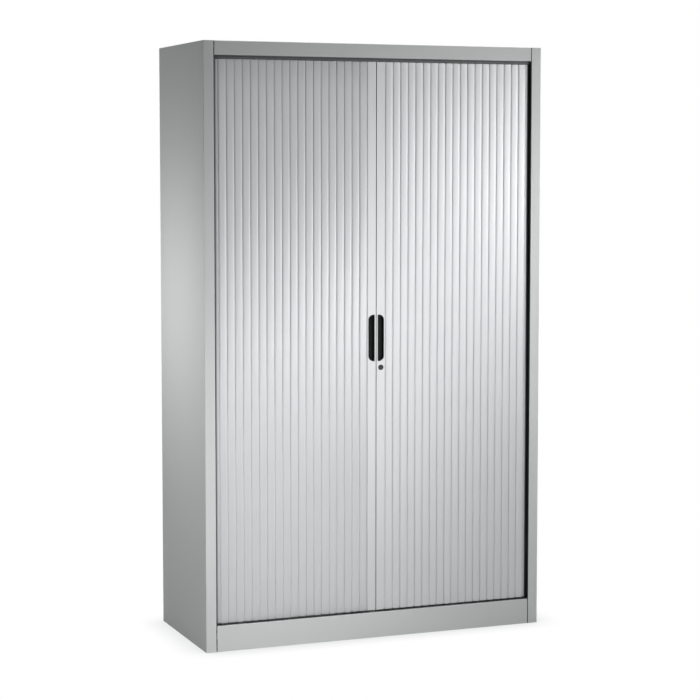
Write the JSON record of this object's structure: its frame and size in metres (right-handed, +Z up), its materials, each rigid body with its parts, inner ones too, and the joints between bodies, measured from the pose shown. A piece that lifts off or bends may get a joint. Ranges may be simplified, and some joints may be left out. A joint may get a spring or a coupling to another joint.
{
  "type": "roll-front cabinet",
  "caption": "Tall steel cabinet with two slatted roll-front doors that slide round into its sides, recessed grips, a cylinder lock and adjustable shelves.",
  "frame": {"origin": "middle of the footprint, on the floor", "axes": "+X to the right seen from the front, +Y to the back, +Z up"},
  "size_m": [1.2, 0.5, 1.98],
  "materials": {
    "case_paint": "light grey powder coat, fine grain, satin",
    "curtain_silver": "silver metallic extruded plastic, satin",
    "leading_slat_silver": "silver anodised, satin",
    "track_plastic": "dark grey moulded plastic",
    "glide_nylon": "black nylon",
    "grip_black": "black moulded plastic, fine texture",
    "lock_metal": "dark nickel plate",
    "zinc_steel": "bright zinc plate",
    "foot_black": "dark plated steel"
  },
  "bodies": {
    "case": {"side_panel_left": "case_paint", "side_panel_right": "case_paint", "top_panel": "case_paint", "ceiling_panel": "case_paint", "floor_panel": "case_paint", "front_plinth": "case_paint", "back_panel": "case_paint", "floor_stiffener": "case_paint", "side_wall_left": "case_paint", "side_wall_right": "case_paint", "rear_wall": "case_paint", "upright_front_left": "zinc_steel", "upright_rear_left": "zinc_steel", "upright_front_right": "zinc_steel", "upright_rear_right": "zinc_steel", "shelf_1": "case_paint", "shelf_2": "case_paint", "shelf_3": "case_paint", "shelf_4": "case_paint", "shelf_clips": "zinc_steel", "bottom_front_track": "track_plastic", "top_front_track": "track_plastic", "bottom_side_track_left": "track_plastic", "bottom_side_track_right": "track_plastic", "top_side_track_left": "track_plastic", "top_side_track_right": "track_plastic", "foot_brackets": "zinc_steel"},
    "left_door": {"leading_slat_left": "leading_slat_silver", "leading_glides_left": "glide_nylon", "grip_left": "grip_black", "strike": "zinc_steel", "curtain_left": "curtain_silver", "curtain_glides_left": "glide_nylon"},
    "right_door": {"leading_slat_right": "leading_slat_silver", "leading_glides_right": "glide_nylon", "grip_right": "grip_black", "lock_barrel": "lock_metal", "lock_nut": "zinc_steel", "curtain_right": "curtain_silver", "curtain_glides_right": "glide_nylon"},
    "lock_core": {"lock_plug": "lock_metal", "lock_cam": "zinc_steel", "cam_bolt": "zinc_steel"},
    "body_foot_front_left": {"foot_front_left": "foot_black"},
    "body_foot_rear_left": {"foot_rear_left": "foot_black"},
    "body_foot_front_right": {"foot_front_right": "foot_black"},
    "body_foot_rear_right": {"foot_rear_right": "foot_black"}
  },
  "joints": [
    {"name": "left_door_slide", "type": "slide", "parent": "case", "child": "left_door", "axis": [-1, 0, 0], "range_m": [0, 0.53], "deforming": ["curtain_left", "curtain_glides_left"]},
    {"name": "right_door_slide", "type": "slide", "parent": "case", "child": "right_door", "axis": [1, 0, 0], "range_m": [0, 0.53], "deforming": ["curtain_right", "curtain_glides_right"]},
    {"name": "lock_turn", "type": "hinge", "parent": "right_door", "child": "lock_core", "pos_m": [0.017, -0.228, 0.911], "axis": [0, 1, 0], "range_deg": [0, 90]},
    {"name": "foot_front_left_screw", "type": "slide", "parent": "case", "child": "body_foot_front_left", "axis": [0, 0, -1], "range_m": [0, 0.02]},
    {"name": "foot_rear_left_screw", "type": "slide", "parent": "case", "child": "body_foot_rear_left", "axis": [0, 0, -1], "range_m": [0, 0.02]},
    {"name": "foot_front_right_screw", "type": "slide", "parent": "case", "child": "body_foot_front_right", "axis": [0, 0, -1], "range_m": [0, 0.02]},
    {"name": "foot_rear_right_screw", "type": "slide", "parent": "case", "child": "body_foot_rear_right", "axis": [0, 0, -1], "range_m": [0, 0.02]}
  ]
}
